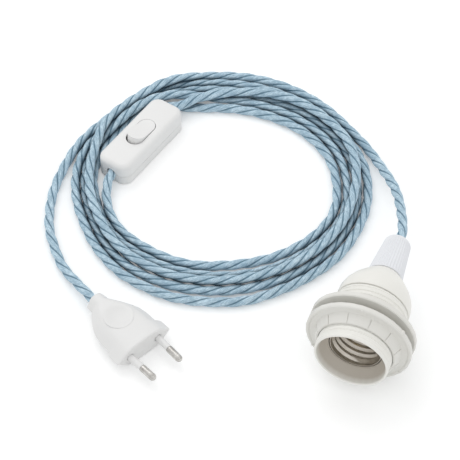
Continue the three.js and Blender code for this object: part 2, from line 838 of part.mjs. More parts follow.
function makeSwitch() {
  const unit = new THREE.Group();
  unit.position.set(switchPlace.x, switchPlace.y, 0);
  unit.rotation.z = degrees(switchPlace.turn);
  unit.add(part("switch_cover", makeSwitchCover(), white));
  unit.add(part("switch_base", makeSwitchBase(), white));
  const rocking = new THREE.Group();
  rocking.position.z = rockerPivotHeight;
  rocking.rotation.y = degrees(rockerTilt);
  rocking.add(part("rocker", makeRocker(), white));
  rocking.add(part("contact_bridge", makeContactBridge(), brass));
  unit.add(rocking);
  [-1, 1].forEach((side, k) => {
    const suffix = "ab"[k];
    unit.add(part(`switch_terminal_${suffix}`, makeSwitchTerminal(side), brass));
    unit.add(part(`switch_screw_${suffix}`, makeSwitchTerminalScrew(side), steel));
    unit.add(part(`cord_clamp_${suffix}`, makeCordClamp(side), steel));
    const screw = part(`housing_screw_${suffix}`, makeHousingScrew(), steel);
    screw.position.set(screwPlaces[k].x, screwPlaces[k].y, 0);
    unit.add(screw);
    const end = rod("x", cordRadius - 0.1, cordEndStart, switchLength / 2, 12).translate(0, 0, switchSplit);
    unit.add(part(`cord_end_in_switch_${suffix}`, side < 0 ? end.rotateZ(Math.PI) : end, textile));
    const lead = rod("x", cordRadius, switchLength / 2 + GAP, switchLength / 2 + GAP + switchLeadLength, 12);
    lead.translate(0, 0, switchSplit);
    unit.add(part(`cord_switch_lead_${suffix}`, side < 0 ? lead.rotateZ(Math.PI) : lead, textile));
  });
  unit.add(part("through_wire", makeThroughWire(), insulation));
  return unit;
}

// Plug: X towards the pins, origin at the middle of the front face
function plugSection(angle, halfWidth, halfHeight, halfFlat) {
  const slope = (halfWidth - halfFlat) / halfHeight;
  const x = Math.abs(Math.cos(angle)) * halfWidth;
  const z = Math.abs(Math.sin(angle)) * halfHeight;
  const reach = Math.hypot(x, z);
  const [ux, uz] = [x / reach, z / reach];
  const power = 9;
  return ((uz / halfHeight) ** power + ((ux + slope * uz) / halfWidth) ** power) ** (-1 / power);
}

function makePlugBody() {
  const half = plugHeight / 2;
  const flat = plugTopFlat / 2;
  const low = half - plugCrown;
  const neckEnd = plugLength;
  const neckStart = plugLength - plugNeckLength;
  const sections = [
    { at: 0, width: plugWidth / 2 - 0.5, height: half - 0.5, flat },
    { at: 0.6, width: plugWidth / 2, height: half, flat },
    { at: plugFlangeLength - 1, width: plugWidth / 2 - 0.2, height: half, flat },
    { at: plugFlangeLength, width: plugWidth / 2 - 0.9, height: half - 0.05, flat },
    { at: plugFlangeLength + 1.4, width: plugWaistWidth / 2, height: half - 0.1, flat },
    { at: plugWaistEnd, width: plugWaistWidth / 2 - 0.1, height: low + 0.05, flat: flat - 0.2 },
    { at: plugBlendStation, width: (plugWaistWidth + plugShoulderWidth) / 4 + 0.3, height: low, flat: flat - 0.6 },
    { at: plugShoulderStation, width: plugShoulderWidth / 2, height: low, flat: flat - 1.4 },
    { at: plugTaperStart.station, width: plugTaperStart.reach, height: low - 0.1, flat: plugTaperStart.flat },
    { at: plugTaperEnd.station, width: plugTaperEnd.reach, height: low - 0.2, flat: plugTaperEnd.flat },
    { at: neckStart, width: plugNeckRadius + 0.9, height: plugNeckRadius + 0.15, flat: 2.9 },
    { at: neckStart + 1, width: plugNeckRadius, height: plugNeckRadius, flat: 2.6 },
    { at: neckEnd - 0.7, width: plugNeckRadius - 0.1, height: plugNeckRadius - 0.1, flat: 2.6 },
    { at: neckEnd, width: plugNeckRadius - 0.8, height: plugNeckRadius - 0.8, flat: 2.3 },
  ];
  const sides = 28;
  const blank = new THREE.CylinderGeometry(1, 1, sections.length - 1, sides, sections.length - 1);
  const at = blank.attributes.position;
  for (let i = 0; i < at.count; i += 1) {
    const section = sections[Math.round((sections.length - 1) / 2 - at.getY(i))];
    const onAxis = Math.hypot(at.getX(i), at.getZ(i)) < 0.5;
    const turn = Math.atan2(at.getZ(i), at.getX(i));
    const x = Math.cos(turn) * section.width;
    const z = Math.sin(turn) * section.height;
    const edge = plugSection(turn, section.width, section.height, section.flat);
    const reach = onAxis ? 0 : edge / Math.hypot(x, z);
    at.setXYZ(i, -section.at, x * reach, z * reach);
  }
  const dishSphere = (plugDishRadius ** 2 + plugDishDepth ** 2) / (2 * plugDishDepth);
  const dishes = [1, -1].map((side) => {
    const ball = [];
    const spread = Math.asin(plugDishRadius / dishSphere) * 1.15;
    for (let k = 0; k <= 3; k += 1) {
      ball.push([dishSphere * Math.sin((spread * k) / 3), -dishSphere * Math.cos((spread * k) / 3)]);
    }
    ball.push([0, ball[3][1]]);
    const dish = turned(ball, 24).translate(0, dishSphere - plugDishDepth, 0);
    dish.rotateX(side * (Math.PI / 2));
    return dish.translate(-plugDishStation, 0, side * half);
  });
  const discs = [1, -1].map((side) =>
    rod("z", plugDiscRadius, Math.min(side * half, side), Math.max(side * half, side), 24)
      .translate(-plugDishStation, 0, 0),
  );
  const pinHoles = [-1, 1].flatMap((side) => [
    placePin(rod("x", pinShankRadius + GAP, -pinSeat - GAP, 1), side),
    placePin(rod("x", sleeveRadius + GAP, -2 - GAP, 1), side),
  ]);
  const cordHole = rod("x", cordRadius + GAP, -plugLength - 1, -plugLength + 9, 20);
  return cut(join(blank, ...discs), ...dishes, ...pinHoles, cordHole);
}

function placePin(geometry, side) {
  return geometry.rotateZ(-side * degrees(pinToe)).translate(0, (side * pinSpacing) / 2, 0);
}

// Nickel pin: a thin shank seated in the body and a full-size round-nosed end
function makePin(side) {
  const bare = sleeveLength + GAP;
  const pin = turned(
    [
      [0, -pinSeat],
      [pinShankRadius, -pinSeat],
      [pinShankRadius, bare],
      [pinRadius, bare],
      [pinRadius, pinLength - 1.8],
      [pinRadius * 0.88, pinLength - 0.95],
      [pinRadius * 0.6, pinLength - 0.35],
      [0, pinLength],
    ],
    SMALL_ROUND,
  );
  return placePin(pin.rotateZ(-Math.PI / 2), side);
}

function makeSleeve(side) {
  const hole = pinShankRadius + GAP;
  const sleeve = turned(
    [
      [hole, -2],
      [sleeveRadius, -2],
      [sleeveRadius, sleeveLength],
      [hole, sleeveLength],
      [hole, -2],
    ],
    SMALL_ROUND,
  );
  return placePin(sleeve.rotateZ(-Math.PI / 2), side);
}

function makePlug() {
  const plug = new THREE.Group();
  plug.position.set(plugPlace.x, plugPlace.y, plugHeight / 2);
  plug.rotation.z = degrees(plugPlace.turn);
  plug.add(part("plug_body", makePlugBody(), white));
  [-1, 1].forEach((side, k) => {
    plug.add(part(`plug_pin_${"ab"[k]}`, makePin(side), nickel));
    plug.add(part(`pin_sleeve_${"ab"[k]}`, makeSleeve(side), white));
  });
  return plug;
}

// Coil: the outer shape of the wound turns, with room for the switch in its inner side
function makeCoil() {
  const e = coilEdge;
  const ring = turned(
    [
      [coilInnerRadius, e],
      [coilInnerRadius + e, cordLift],
      [coilOuterRadius - e, cordLift],
      [coilOuterRadius, e],
      [coilOuterRadius, coilHeight - 2 * e],
      [coilOuterRadius - 2 * e, coilHeight],
      [coilInnerRadius + 2 * e, coilHeight],
      [coilInnerRadius, coilHeight - 2 * e],
      [coilInnerRadius, e],
    ],
    48,
  );
  ring.rotateX(Math.PI / 2).translate(coilPlace.x, coilPlace.y, 0);
  const reach = switchLength / 2 + 2 * GAP + switchLeadLength;
  const pocket = block(-reach, reach, -BEYOND, switchWidth / 2 + 2 * GAP, -BEYOND, BEYOND);
  pocket.rotateZ(degrees(switchPlace.turn)).translate(switchPlace.x, switchPlace.y, 0);
  return cut(ring, pocket);
}

// Free stretches of the cord. Their points were chosen by hand along the photographed route.
const lying = cordRadius + cordLift;
const lampLeadRoute = [
  [0, holderLength / 2 + GAP, axisZ],
  [0, 43.5, axisZ],
  [-0.5, 50, 26.6],
  [-4.1, 61.4, 23],
  [-11.2, 79.3, 17],
  [-18.2, 92.1, 12],
  [-25.7, 102.3, 8.2],
  [-33.3, 112, 4.8],
  [-39.9, 119, 3.4],
];
const plugLeadRoute = [
  [-195.7, 57.6, lying],
  [-196.8, 49, lying],
  [-196.7, 40.9, lying],
  [-195.2, 27.6, lying],
  [-191.4, 14.6, lying],
  [-185.7, 1.7, lying],
  [-177, -9.6, lying],
  [-172, -15.6, lying],
  [-166.5, -20.7, 3.2],
  [-157.3, -26.9, 4.6],
  [-147.5, -33.4, 6.3],
];

function plugCordEnd() {
  const turn = degrees(plugPlace.turn);
  const reach = plugLength + GAP;
  return [plugPlace.x - reach * Math.cos(turn), plugPlace.y - reach * Math.sin(turn), plugHeight / 2];
}

const cordSet = new THREE.Group();
cordSet.add(makeHolder());
cordSet.add(makeSwitch());
cordSet.add(makePlug());
cordSet.add(part("cord_coil", makeCoil(), textile));
cordSet.add(part("cord_lamp_lead", tube(lampLeadRoute, cordRadius, 10, 14), textile));
cordSet.add(part("cord_plug_lead", tube([...plugLeadRoute, plugCordEnd()], cordRadius, 10, 16), textile));

export default cordSet;
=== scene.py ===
import math
from functools import cache

import bmesh
import bpy
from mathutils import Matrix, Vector
from mathutils.kdtree import KDTree


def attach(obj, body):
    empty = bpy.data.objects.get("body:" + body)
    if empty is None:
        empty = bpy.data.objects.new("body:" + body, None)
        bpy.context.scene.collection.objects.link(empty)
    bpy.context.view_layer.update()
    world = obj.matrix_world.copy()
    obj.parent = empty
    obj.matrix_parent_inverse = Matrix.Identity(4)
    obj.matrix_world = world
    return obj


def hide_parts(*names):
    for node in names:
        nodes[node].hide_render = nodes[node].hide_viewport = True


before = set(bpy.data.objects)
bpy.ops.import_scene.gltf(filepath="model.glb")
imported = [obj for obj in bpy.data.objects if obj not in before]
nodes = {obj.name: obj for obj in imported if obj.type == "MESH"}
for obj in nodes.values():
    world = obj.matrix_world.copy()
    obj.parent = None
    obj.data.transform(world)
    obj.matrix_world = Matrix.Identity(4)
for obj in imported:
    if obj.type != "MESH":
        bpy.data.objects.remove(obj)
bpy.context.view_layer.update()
bpy.ops.object.select_all(action="DESELECT")


# Camera
# The photograph looks down at the cord set from about a metre away with a long lens. The lens and the
# place were worked out from the plug's and the lamp thread's standard sizes.
view_target = Vector((-0.0942, 0.0391, 0.0))
view_elevation = math.radians(50.5)
view_azimuth = math.radians(20.5)
view_distance = 1.0
focal_length_px = 1820
photo_side_px = 460
sensor_width_mm = 36

bpy.ops.object.camera_add(rotation=(math.pi / 2 - view_elevation, 0, view_azimuth))
camera = bpy.context.object
camera.name = "photo_camera"
towards_camera = Vector((
    math.sin(view_azimuth) * math.cos(view_elevation),
    -math.cos(view_azimuth) * math.cos(view_elevation),
    math.sin(view_elevation),
))
camera.location = view_target + view_distance * towards_camera
camera.data.sensor_width = sensor_width_mm
camera.data.lens = focal_length_px / photo_side_px * sensor_width_mm
camera.data.clip_start = 0.01
bpy.context.scene.camera = camera


# Textile cord
# A round twisted cord of three braided strands, 5.5 mm over all, in a pale steel blue. The length from
# the plug is wound outwards from the switch in four turns on the floor. The length from the lampholder
# runs round outside them, climbs on top and crosses inwards over them all into the switch.
cord_diameter = 0.0055
strand_count = 3
strand_radius = 0.0017
strand_offset = cord_diameter / 2 - strand_radius
strand_girth_mm = math.tau * strand_radius * 1000
strand_sides = 12
twist_pitch = 0.0325
ring_step = 0.001
winding_step_deg = 6
curve_cuts = 12  # of each stretch between two points, before it is cut into even steps
smoothing_rounds = 30
crevice_reach = 0.0048  # from a neighbouring turn's middle, inside which a strand lies in its shade
own_stretch = 20  # points of the same line, which don't count as a neighbour
line_numbering = 100000  # between the first numbers of two lines in the tree of all turns
coil_centre = Vector((-0.109, 0.066, 0.0))
floor_height = 0.0028  # of the cord's centre where it lies on the floor
switch_centre = Vector((-0.1623, 0.0776, 0.0))
switch_turn = math.radians(76)
switch_cord_height = 0.0063


def coil_point(angle_deg, radius_mm, height_mm):
    """A place in the coil: its angle and radius about the coil's centre, and its height."""
    angle = math.radians(angle_deg)
    reach = radius_mm / 1000
    return coil_centre + Vector((reach * math.cos(angle), reach * math.sin(angle), height_mm / 1000))


def switch_point(along_mm):
    """A place on the cord's line through the switch, so far from its middle."""
    along = along_mm / 1000
    ahead, aside = along * math.cos(switch_turn), along * math.sin(switch_turn)
    return switch_centre + Vector((ahead, aside, switch_cord_height))


def four_around(items, i):
    """The items before, at, after and beyond number i, with the end ones repeated."""
    return [items[max(0, min(len(items) - 1, i + k))] for k in (-1, 0, 1, 2)]


def winding(stations):
    """The coil's stations, closed up to even steps of angle with a cubic that keeps to them.

    A station is an angle, a radius and a height in millimetres. Without a height it is on the floor.
    """
    points = []
    full = [s if len(s) == 3 else (*s, floor_height * 1000) for s in stations]
    for i in range(len(full) - 1):
        before, here, after, beyond = four_around(full, i)
        span = after[0] - here[0]
        steps = max(1, round(span / winding_step_deg))
        for k in range(steps):
            t = k / steps
            values = []
            for axis in (1, 2):
                lead_in = (after[axis] - before[axis]) / (after[0] - before[0]) * span
                lead_out = (beyond[axis] - here[axis]) / (beyond[0] - here[0]) * span
                values.append(
                    (2 * t**3 - 3 * t**2 + 1) * here[axis]
                    + (t**3 - 2 * t**2 + t) * lead_in
                    + (-2 * t**3 + 3 * t**2) * after[axis]
                    + (t**3 - t**2) * lead_out
                )
            points.append(coil_point(here[0] + t * span, *values))
    points.append(coil_point(*full[-1]))
    return points


def smooth_line(points):
    """A smooth line through the points, cut into even steps."""
    fine = []
    for i in range(len(points) - 1):
        a, b, c, d = four_around(points, i)
        for k in range(curve_cuts):
            t = k / curve_cuts
            fine.append(0.5 * (
                (2 * b) + (c - a) * t
                + (2 * a - 5 * b + 4 * c - d) * t**2
                + (3 * b - a - 3 * c + d) * t**3
            ))
    fine.append(points[-1])
    line = [fine[0]]
    carried = 0.0
    for start, end in zip(fine, fine[1:]):
        length = (end - start).length
        at = ring_step - carried
        while at <= length:
            line.append(start.lerp(end, at / length))
            at += ring_step
        carried = (carried + length) % ring_step
    return line


def relaxed(line):
    """The line with its small kinks taken out, its two ends kept."""
    for _ in range(smoothing_rounds):
        line = [line[0]] + [
            line[i] * 0.5 + (line[i - 1] + line[i + 1]) * 0.25 for i in range(1, len(line) - 1)
        ] + [line[-1]]
    return line


def all_turns(*lines):
    """Every line's points in one tree, to find the turns that lie beside a place."""
    turns = KDTree(sum(len(line) for line in lines))
    for number, line in enumerate(lines):
        for i, point in enumerate(line):
            turns.insert(point, number * line_numbering + i)
    turns.balance()
    return turns


def crevice_shade_share(turns, place, own_number):
    """How deep a place on a strand is hidden against the turns beside it, from 0 to 1, as the share of shade
    painted on it.
    """
    nearest = crevice_reach
    for _, number, distance in turns.find_range(place, crevice_reach):
        if abs(number - own_number) > own_stretch:
            nearest = min(nearest, distance)
    share = (crevice_reach - nearest) / (crevice_reach - cord_diameter / 2)
    return min(1.0, share)


def strand_rings(builder, line, start_lay, turns, first_number):
    """One strand's rings of vertices along the line, each with the millimetres travelled up to it.

    Every vertex also keeps in a layer how deep it is hidden between the turns, the share of shade painted on
    it.
    """
    crevice_shade = builder.verts.layers.float["crevice_shade"]
    up = Vector((0, 0, 1))
    rings = []
    travelled = 0.0
    for i, centre in enumerate(line):
        if i:
            travelled += (centre - line[i - 1]).length
        ahead = (line[min(i + 1, len(line) - 1)] - line[max(i - 1, 0)]).normalized()
        side = ahead.cross(up).normalized()
        over = side.cross(ahead)
        lay = start_lay + math.tau * (travelled / twist_pitch)
        outward = side * math.cos(lay) + over * math.sin(lay)
        across = side * -math.sin(lay) + over * math.cos(lay)
        middle = centre + outward * strand_offset
        ring = []
        for k in range(strand_sides):
            around = math.tau * k / strand_sides
            vertex = builder.verts.new(
                middle + strand_radius * (outward * math.cos(around) + across * math.sin(around)))
            vertex[crevice_shade] = crevice_shade_share(turns, vertex.co, first_number + i)
            ring.append(vertex)
        rings.append((ring, travelled * 1000))
    return rings


def skin_strand(builder, rings):
    """Closes the rings up with smooth faces and two ends, with the UV map "strand" in millimetres."""
    strand_uv = builder.loops.layers.uv["strand"]
    for (near, near_mm), (far, far_mm) in zip(rings, rings[1:]):
        for k in range(strand_sides):
            n = (k + 1) % strand_sides
            face = builder.faces.new((near[k], near[n], far[n], far[k]))
            face.smooth = True
            corners = ((k, near_mm), (k + 1, near_mm), (k + 1, far_mm), (k, far_mm))
            for loop, (share, along) in zip(face.loops, corners):
                loop[strand_uv].uv = (strand_girth_mm * share / strand_sides, along)
    builder.faces.new(list(reversed(rings[0][0])))
    builder.faces.new(rings[-1][0])


def twisted_cord(name, line, start_turn, turns, first_number):
    """Round strands laid about the line. The first number is the line's own in the tree of all turns."""
    builder = bmesh.new()
    builder.loops.layers.uv.new("strand")
    builder.verts.layers.float.new("crevice_shade")
    for strand in range(strand_count):
        start_lay = start_turn + math.tau * strand / strand_count
        skin_strand(builder, strand_rings(builder, line, start_lay, turns, first_number))
    bmesh.ops.recalc_face_normals(builder, faces=builder.faces)
    mesh = bpy.data.meshes.new(name)
    builder.to_mesh(mesh)
    builder.free()
    cord = bpy.data.objects.new(name, mesh)
    bpy.context.scene.collection.objects.link(cord)
    return cord


def metres(route_mm):
    return [Vector(p) / 1000 for p in route_mm]


# The lead from the lampholder comes down in one easy curve to the floor outside the coil. The stations
# of the turns were read off the photograph, and each lead is a row of points in the shared frame.
lamp_lead = metres([
    (0, 30, 28), (0, 36, 28), (0, 41.3, 28), (0, 43.5, 28), (-0.5, 50, 26.6), (-4.1, 61.4, 23),
    (-11.2, 79.3, 17), (-18.2, 92.1, 12), (-25.7, 102.3, 8.2), (-33.3, 112, 4.8), (-39.9, 119, 3.2),
])
lamp_side_turns = winding([
    (43.7, 85.5), (49.5, 84), (57, 83.6), (66, 83.7), (76, 84), (86, 84.3), (96, 84.6), (106, 84.7),
    (115, 84.4, 3.2), (122, 84, 4.6), (129, 83.3, 6.6), (136, 82, 7.7), (144, 80.3, 7.9),
    (152, 79.5, 7.9), (160, 79.2, 8.4), (167, 78.7, 9.2), (172, 77.9, 9.6), (177, 76.5, 9.2),
    (183, 75.2, 8.4), (190, 74.7, 7.8), (200, 74.2, 7.6), (210, 73.5, 7.6), (220, 72.9, 7.6),
    (230, 72.9, 7.2), (240, 73, 6.2), (255, 71.9, 5.4), (270, 71, 5), (285, 70.2, 5.4), (300, 69.8, 5.8),
    (315, 70, 6), (330, 70.8, 6.6), (345, 72, 7.3), (360, 73, 7.6), (370, 73.6, 7.9), (380, 74.8, 8.3),
    (390, 75.9, 8.3), (400, 76.6, 7.8), (410, 76.3, 7.6), (420, 75.2, 7.6), (430, 74.2, 8.1),
    (440, 72.5, 8.4), (450, 70.3, 8.3), (460, 68.1, 8), (470, 65.8, 8.2), (480, 63.8, 8.4),
    (487, 62.6, 8), (493, 61.8, 7.2),
])
into_switch = [switch_point(28.8), switch_point(23), switch_point(18)]
lamp_side_line = relaxed(smooth_line(lamp_lead + lamp_side_turns + into_switch))

out_of_switch = [switch_point(-18), switch_point(-23), switch_point(-28.8)]
plug_side_turns = winding([
    (199.5, 63.4, 6), (205, 64.6, 5.2), (212, 65.3, 4.2), (220, 65.5, 3.3), (230, 64.8), (240, 63),
    (250, 61.3), (260, 60.5), (270, 59.8), (280, 58.8), (290, 57.6), (300, 57.5), (310, 58), (320, 59.2),
    (330, 60.2), (340, 62), (350, 63.5), (360, 64.8), (370, 64.9), (380, 64.2), (390, 64), (400, 63.7),
    (410, 62.6), (420, 61.6), (430, 60.6), (440, 59.3), (450, 58.8), (460, 58.6), (470, 58.9),
    (478, 59.6), (485, 61), (492, 64.4), (499, 69.2), (505, 72), (512, 72.5), (520, 71.6), (528, 71.2),
    (536, 71.5), (544, 72.5), (550, 73), (556, 72.8), (562, 71.9), (570, 70.8), (580, 70.3), (590, 69.8),
    (600, 68.5), (610, 67), (620, 66.2), (630, 65.6), (640, 65.2), (650, 65), (660, 65), (670, 65.3),
    (680, 65.8), (690, 66.5), (700, 67.6), (710, 69), (720, 70.2), (730, 70.4), (740, 69.8), (750, 69.5),
    (760, 69.2), (770, 68.3), (780, 67.2), (790, 66.3), (800, 65.2), (810, 64.8), (820, 65), (830, 66.3),
    (840, 68.8, 3.1), (846, 70.4, 4.2), (852, 72, 6), (858, 73, 7.1), (866, 73.8, 7.8), (876, 73.7, 7.8),
    (884, 74, 7.2), (891, 75.2, 5.4), (898, 76.5, 3.5), (906, 77.4), (914, 77.4), (922, 76.7),
    (930, 76.1), (940, 75.5), (950, 76), (960, 76.9), (970, 77), (980, 76.5), (990, 76), (1000, 75.3),
    (1010, 74.7), (1020, 74.3), (1030, 74.2), (1040, 74.3), (1050, 74.6), (1060, 75), (1070, 75.4),
    (1080, 75.7), (1090, 75.9), (1100, 75.5), (1110, 75), (1120, 74.6), (1130, 73.7), (1140, 72.5),
    (1150, 72), (1160, 71.6), (1170, 71.4), (1180, 71.8), (1190, 73), (1200, 74.3), (1212, 75.9),
    (1225, 77), (1235, 77), (1244, 77.4), (1251, 79.3), (1258, 81.4), (1266, 82.4), (1274, 82.3),
    (1284, 81.8), (1290, 81.3), (1300, 80.6), (1310, 81.3), (1320, 82), (1330, 83), (1340, 82.9),
    (1350, 83.2), (1360, 82.7), (1370, 82.3), (1380, 82.4), (1390, 80.8), (1400, 80.3), (1410, 80.2),
    (1420, 81), (1430, 80.9), (1440, 81.1), (1450, 81.5), (1460, 81.4), (1470, 81.2), (1480, 80),
    (1490, 78.6), (1500, 78), (1515, 77.8), (1530, 77.8), (1550, 78.4), (1560, 79.3), (1570, 80.6),
    (1580, 81.8), (1590, 82.3), (1600, 82.6), (1606, 83.3), (1612, 84.9), (1620, 87.1), (1628, 88.9),
])
plug_lead = metres([
    (-196.7, 40.9, 2.8), (-195.2, 27.6, 2.8), (-191.4, 14.6, 2.8), (-185.7, 1.7, 2.8), (-177, -9.6, 2.8),
    (-172, -15.6, 2.8), (-166.5, -20.7, 3.2), (-157.3, -26.9, 4.6), (-147.5, -33.4, 6.3),
    (-142.1, -36.5, 6.85), (-138.5, -38.4, 6.85), (-134.9, -40.2, 6.85),
])
plug_side_line = relaxed(smooth_line(out_of_switch + plug_side_turns + plug_lead))


# Braided cover of the cord
# Each strand's cover is braided from a matt yarn, whose fine ribs run steeply along the strand. The
# creases between the strands keep no light, and they are painted as thin deep teal lines of shade.
cord_blue = (0.345, 0.495, 0.605)
cord_light = (0.62, 0.78, 0.88)
# painted shade: the colour of the creases between the strands
cord_crease_shade = (0.09, 0.18, 0.255)
# painted shade: the near-black colour deep between the turns
cord_crevice_shade = (0.006, 0.03, 0.055)
braid_rib_mm = 0.42
braid_stretch_mm = 3.0
braid_lean_deg = 12
crease_ends = (-0.02, 0.42)  # cosines of the angle about a strand, from its crease to its open face
patch_weight = 0.45
tone_range = (0.62, 0.98)
fuzz_weight = 0.3


def new_material(name):
    material = bpy.data.materials.new(name)
    material.use_nodes = True
    tree = material.node_tree
    return material, tree, tree.nodes["Principled BSDF"]


def set_inputs(node, **inputs):
    """Sets a node's inputs by name, with an underscore for each space."""
    for key, value in inputs.items():
        node.inputs[key.replace("_", " ")].default_value = value


def add_node(tree, kind, **inputs):
    node = tree.nodes.new(kind)
    set_inputs(node, **inputs)
    return node


def calculated(tree, operation, *values):
    """A math node's result, from outputs and plain numbers."""
    node = tree.nodes.new("ShaderNodeMath")
    node.operation = operation
    for socket, value in zip(node.inputs, values):
        if isinstance(value, float):
            socket.default_value = value
        else:
            tree.links.new(value, socket)
    return node.outputs[0]


def ranged(tree, value, low, high, to_low=0.0, to_high=1.0):
    """The value brought from one range to another and held inside it."""
    node = add_node(tree, "ShaderNodeMapRange", From_Min=low, From_Max=high, To_Min=to_low, To_Max=to_high)
    tree.links.new(value, node.inputs["Value"])
    return node.outputs[0]


def object_noise(tree, scale, detail, roughness=0.5):
    """Noise that runs through the piece in its own coordinates."""
    place = tree.nodes.new("ShaderNodeTexCoord")
    noise = add_node(tree, "ShaderNodeTexNoise", Scale=scale, Detail=detail, Roughness=roughness)
    tree.links.new(place.outputs["Object"], noise.inputs["Vector"])
    return noise.outputs[0]


def two_tones(tree, value, low_tone, high_tone, low=0.0, high=1.0):
    """A colour that runs between two tones while the value goes from low to high."""
    ramp = tree.nodes.new("ShaderNodeValToRGB")
    for element, stop, tone in zip(ramp.color_ramp.elements, (low, high), (low_tone, high_tone)):
        element.position = stop
        element.color = (*tone, 1)
    tree.links.new(value, ramp.inputs["Fac"])
    return ramp.outputs["Color"]


def blended(tree, share, first, second):
    """A mix of two colours by the share of the second, each an output or a fixed colour."""
    mix = tree.nodes.new("ShaderNodeMix")
    mix.data_type = "RGBA"
    tree.links.new(share, mix.inputs["Factor"])
    for key, colour in (("A", first), ("B", second)):
        if isinstance(colour, tuple):
            mix.inputs[key].default_value = (*colour, 1)
        else:
            tree.links.new(colour, mix.inputs[key])
    return mix.outputs["Result"]


def raised(tree, shader, height, strength, distance):
    """Raises the shader's face by the height as bump."""
    bump = add_node(tree, "ShaderNodeBump", Strength=strength, Distance=distance)
    tree.links.new(height, bump.inputs["Height"])
    tree.links.new(bump.outputs["Normal"], shader.inputs["Normal"])


def braid_ribs(tree, uv, lean_deg):
    """Noise drawn out along the strand, leaning to one side."""
    place = add_node(tree, "ShaderNodeMapping", Rotation=(0, 0, math.radians(lean_deg)),
                     Scale=(braid_rib_mm, braid_stretch_mm, 1))
    place.vector_type = "TEXTURE"
    tree.links.new(uv, place.inputs["Vector"])
    noise = add_node(tree, "ShaderNodeTexNoise", Scale=1.0, Detail=1.0, Roughness=0.6)
    tree.links.new(place.outputs["Vector"], noise.inputs["Vector"])
    return noise.outputs[0]


def braided_textile():
    """Two blues in fine crossing ribs, with painted shade darker in the creases and nearly black between the
    turns.
    """
    material, tree, shader = new_material("braided_textile")
    strand_map = tree.nodes.new("ShaderNodeUVMap")
    strand_map.uv_map = "strand"
    uv = strand_map.outputs["UV"]
    across = tree.nodes.new("ShaderNodeSeparateXYZ")
    tree.links.new(uv, across.inputs[0])
    around = calculated(tree, "MULTIPLY", across.outputs["X"], math.tau / strand_girth_mm)
    open_face = ranged(tree, calculated(tree, "COSINE", around), *crease_ends)

    ribs = calculated(
        tree, "MAXIMUM", braid_ribs(tree, uv, braid_lean_deg), braid_ribs(tree, uv, -braid_lean_deg))
    patches = calculated(
        tree, "MULTIPLY", object_noise(tree, scale=150.0, detail=3.0, roughness=0.6), patch_weight)
    mottle = ranged(tree, calculated(tree, "ADD", ribs, patches), *tone_range)
    yarn = two_tones(tree, mottle, cord_blue, cord_light, low=0.25, high=0.80)
    # Painted shade: each strand darkens towards the crease colour on its crease side.
    crease_shaded = blended(tree, open_face, cord_crease_shade, yarn)
    # Painted shade: the colour darkens nearly to black where a strand lies deep between the turns.
    crevice_shade = tree.nodes.new("ShaderNodeAttribute")
    crevice_shade.attribute_name = "crevice_shade"
    colour = blended(tree, crevice_shade.outputs["Fac"], crease_shaded, cord_crevice_shade)
    tree.links.new(colour, shader.inputs["Base Color"])

    fuzz = calculated(tree, "MULTIPLY", object_noise(tree, scale=2600.0, detail=2.0), fuzz_weight)
    raised(tree, shader, calculated(tree, "ADD", ribs, fuzz), strength=1.0, distance=0.0004)
    set_inputs(shader, Roughness=0.8, Sheen_Weight=0.05, Sheen_Roughness=0.5, Specular_IOR_Level=0.1)
    return material


textile = braided_textile()
turns = all_turns(lamp_side_line, plug_side_line)
lamp_side_cord = twisted_cord(
    "textile_cord_lamp_side", lamp_side_line, start_turn=0.4, turns=turns, first_number=0)
plug_side_cord = twisted_cord(
    "textile_cord_plug_side", plug_side_line, start_turn=1.3, turns=turns, first_number=line_numbering)
for cord in (lamp_side_cord, plug_side_cord):
    cord.data.materials.append(textile)
    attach(cord, "cord_set")
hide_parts("cord_end_in_grip", "cord_lamp_lead", "cord_switch_lead_b",
            "cord_end_in_switch_b")
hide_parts("cord_end_in_switch_a", "cord_switch_lead_a", "cord_coil", "cord_plug_lead")


# Floor and light
# The cord set lies on a white studio sweep under a large soft light from behind on the left and a weaker
# one from the front on the right. A bright pale room all round it keeps the shadows short and weak.
floor_side = 6
floor_lift = 0.18  # of glow, which only the camera and reflections see, so that the sweep comes out white
room_strength = 0.88


def white_sweep():
    """Nearly white and matt, with no seam to the room behind it."""
    material, tree, shader = new_material("white_sweep")
    mottle = object_noise(tree, scale=3.0, detail=2.0)
    tone = two_tones(tree, mottle, (0.895, 0.9, 0.9), (0.905, 0.91, 0.91))
    tree.links.new(tone, shader.inputs["Base Color"])
    path = tree.nodes.new("ShaderNodeLightPath")
    seen = calculated(tree, "MAXIMUM", path.outputs["Is Camera Ray"], path.outputs["Is Glossy Ray"])
    tree.links.new(calculated(tree, "MULTIPLY", seen, floor_lift), shader.inputs["Emission Strength"])
    set_inputs(shader, Roughness=0.9, Specular_IOR_Level=0.0, Emission_Color=(1, 1, 1, 1))
    return material


bpy.ops.mesh.primitive_plane_add(size=floor_side, location=(view_target.x, view_target.y, 0))
floor = bpy.context.object
floor.name = "studio_floor"
floor.data.materials.append(white_sweep())

world = bpy.data.worlds.new("pale_room")
world.use_nodes = True
set_inputs(world.node_tree.nodes["Background"], Color=(1, 1, 1, 1), Strength=room_strength)
bpy.context.scene.world = world


def soft_light(name, offset, size, power):
    """A square area light that looks at the middle of the view."""
    bpy.ops.object.light_add(type="AREA", location=view_target + Vector(offset))
    light = bpy.context.object
    light.name = name
    light.data.shape = "SQUARE"
    light.data.size = size
    light.data.energy = power
    light.rotation_euler = (-Vector(offset)).to_track_quat("-Z", "Y").to_euler()


soft_light("key_light", (-0.75, 0.55, 1.35), size=1.2, power=5.0)
soft_light("fill_light", (0.9, -0.6, 1.2), size=1.2, power=1.3)
bpy.context.scene.view_settings.view_transform = "Standard"


